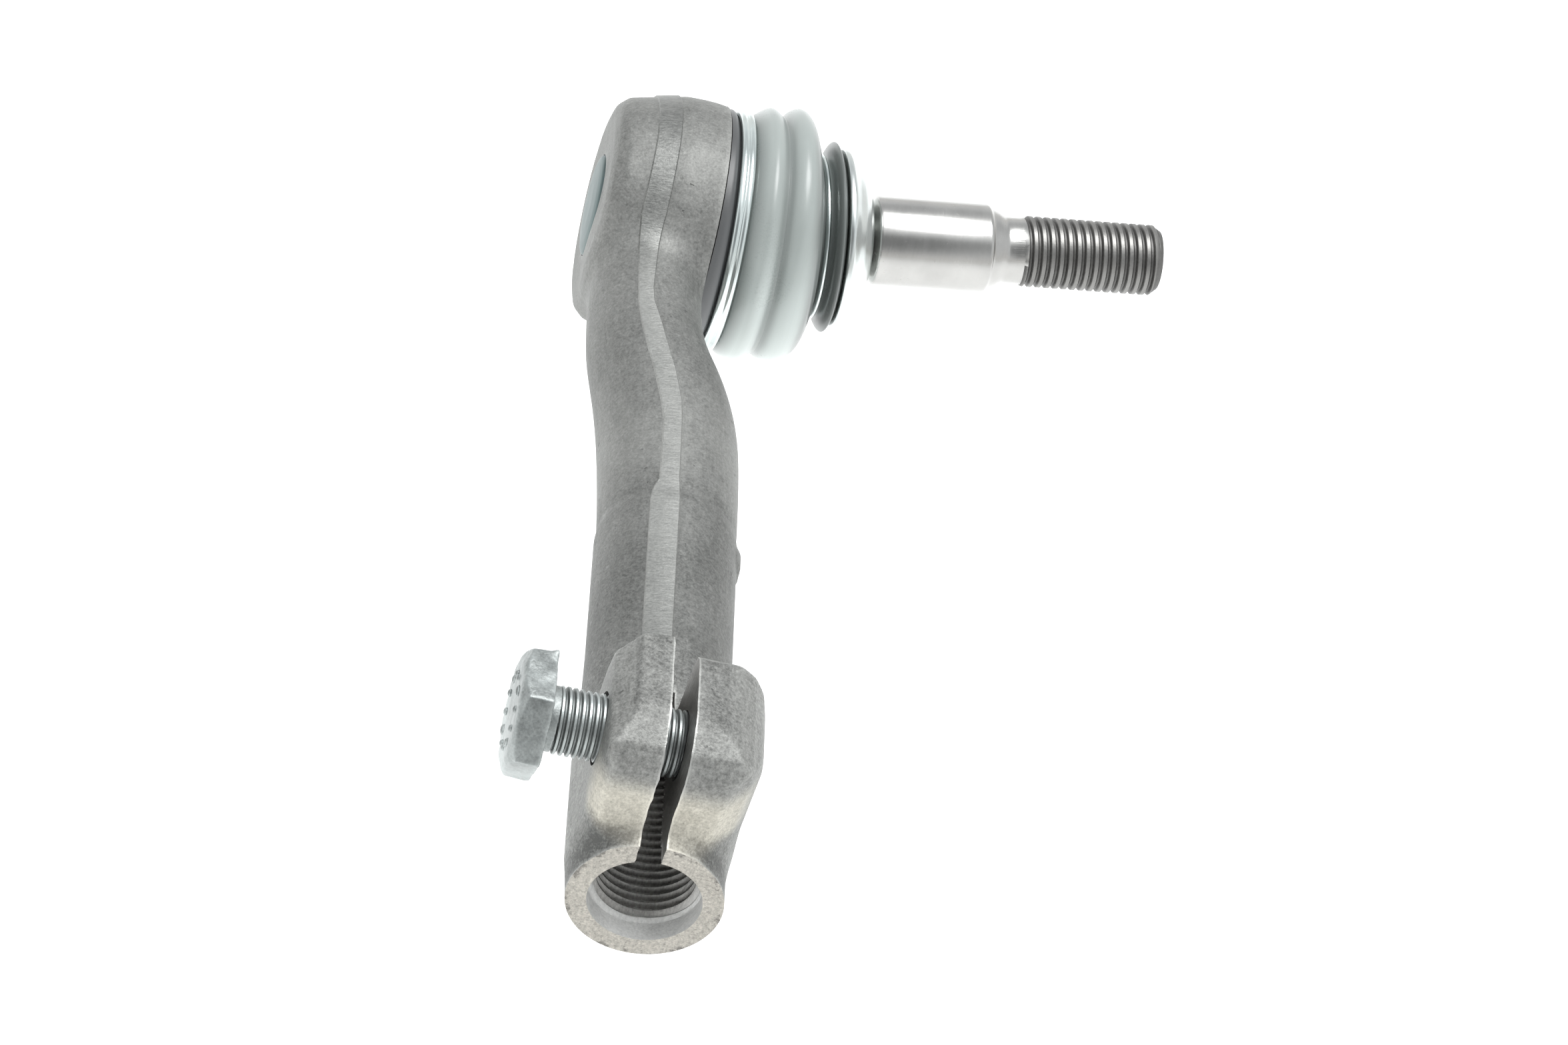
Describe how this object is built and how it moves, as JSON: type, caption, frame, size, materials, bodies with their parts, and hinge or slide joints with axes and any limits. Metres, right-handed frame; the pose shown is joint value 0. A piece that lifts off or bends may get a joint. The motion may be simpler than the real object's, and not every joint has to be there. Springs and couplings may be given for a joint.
{
  "type": "tie rod end",
  "caption": "Bent forged tie rod end: clamped threaded socket at one end, ball joint with dust boot and plain-shank threaded stud at the other.",
  "frame": {"origin": "centre of the threaded socket's mouth, on the barrel's end face", "axes": "+Y along the barrel from the mouth towards the ball, +X the side the stud points to, +Z the side the clamp ears stand on"},
  "size_m": [0.106, 0.1739, 0.0488],
  "materials": {
    "forged_aluminium": "matte, shot blasted",
    "plate_steel": "satin",
    "spring_steel": "satin",
    "acetal": "smooth, greased",
    "stud_steel": "ground shank, darker rolled thread",
    "ring_chrome": "bright",
    "boot_rubber": "satin",
    "zinc_steel": "rough zinc flake"
  },
  "bodies": {
    "housing_body": {"housing": "forged_aluminium", "closing_plate": "plate_steel", "preload_spring": "spring_steel", "pressure_seat": "acetal", "bearing_seat": "acetal", "boot_clamp_ring_large": "ring_chrome"},
    "boot_body": {"dust_boot": "boot_rubber"},
    "boot_end_body": {"boot_clamp_ring_small": "ring_chrome", "boot_lip_ring": "acetal"},
    "stud_body": {"ball_stud": "stud_steel", "seat_ring": "ring_chrome"},
    "bolt_body": {"pinch_bolt": "zinc_steel"}
  },
  "joints": [
    {"name": "stud_swing", "type": "hinge", "parent": "housing_body", "child": "boot_body", "pos_m": [0.0014, 0.151, 0], "axis": [0, -0.7071, 0.7071], "range_deg": [-26, 9.5], "deforming": ["dust_boot"]},
    {"name": "stud_rock", "type": "hinge", "parent": "boot_body", "child": "boot_end_body", "pos_m": [0.0014, 0.151, 0], "axis": [-0.1461, 0.6995, 0.6995], "range_deg": [-18, 18], "deforming": ["dust_boot"]},
    {"name": "stud_spin", "type": "hinge", "parent": "boot_end_body", "child": "stud_body", "pos_m": [0.0014, 0.151, 0], "axis": [0.9893, 0.1033, 0.1033], "continuous": true, "deforming": ["dust_boot"]},
    {"name": "bolt_travel", "type": "slide", "parent": "housing_body", "child": "bolt_body", "axis": [1, 0, 0], "range_m": [-0.0125, 0.0078]}
  ]
}
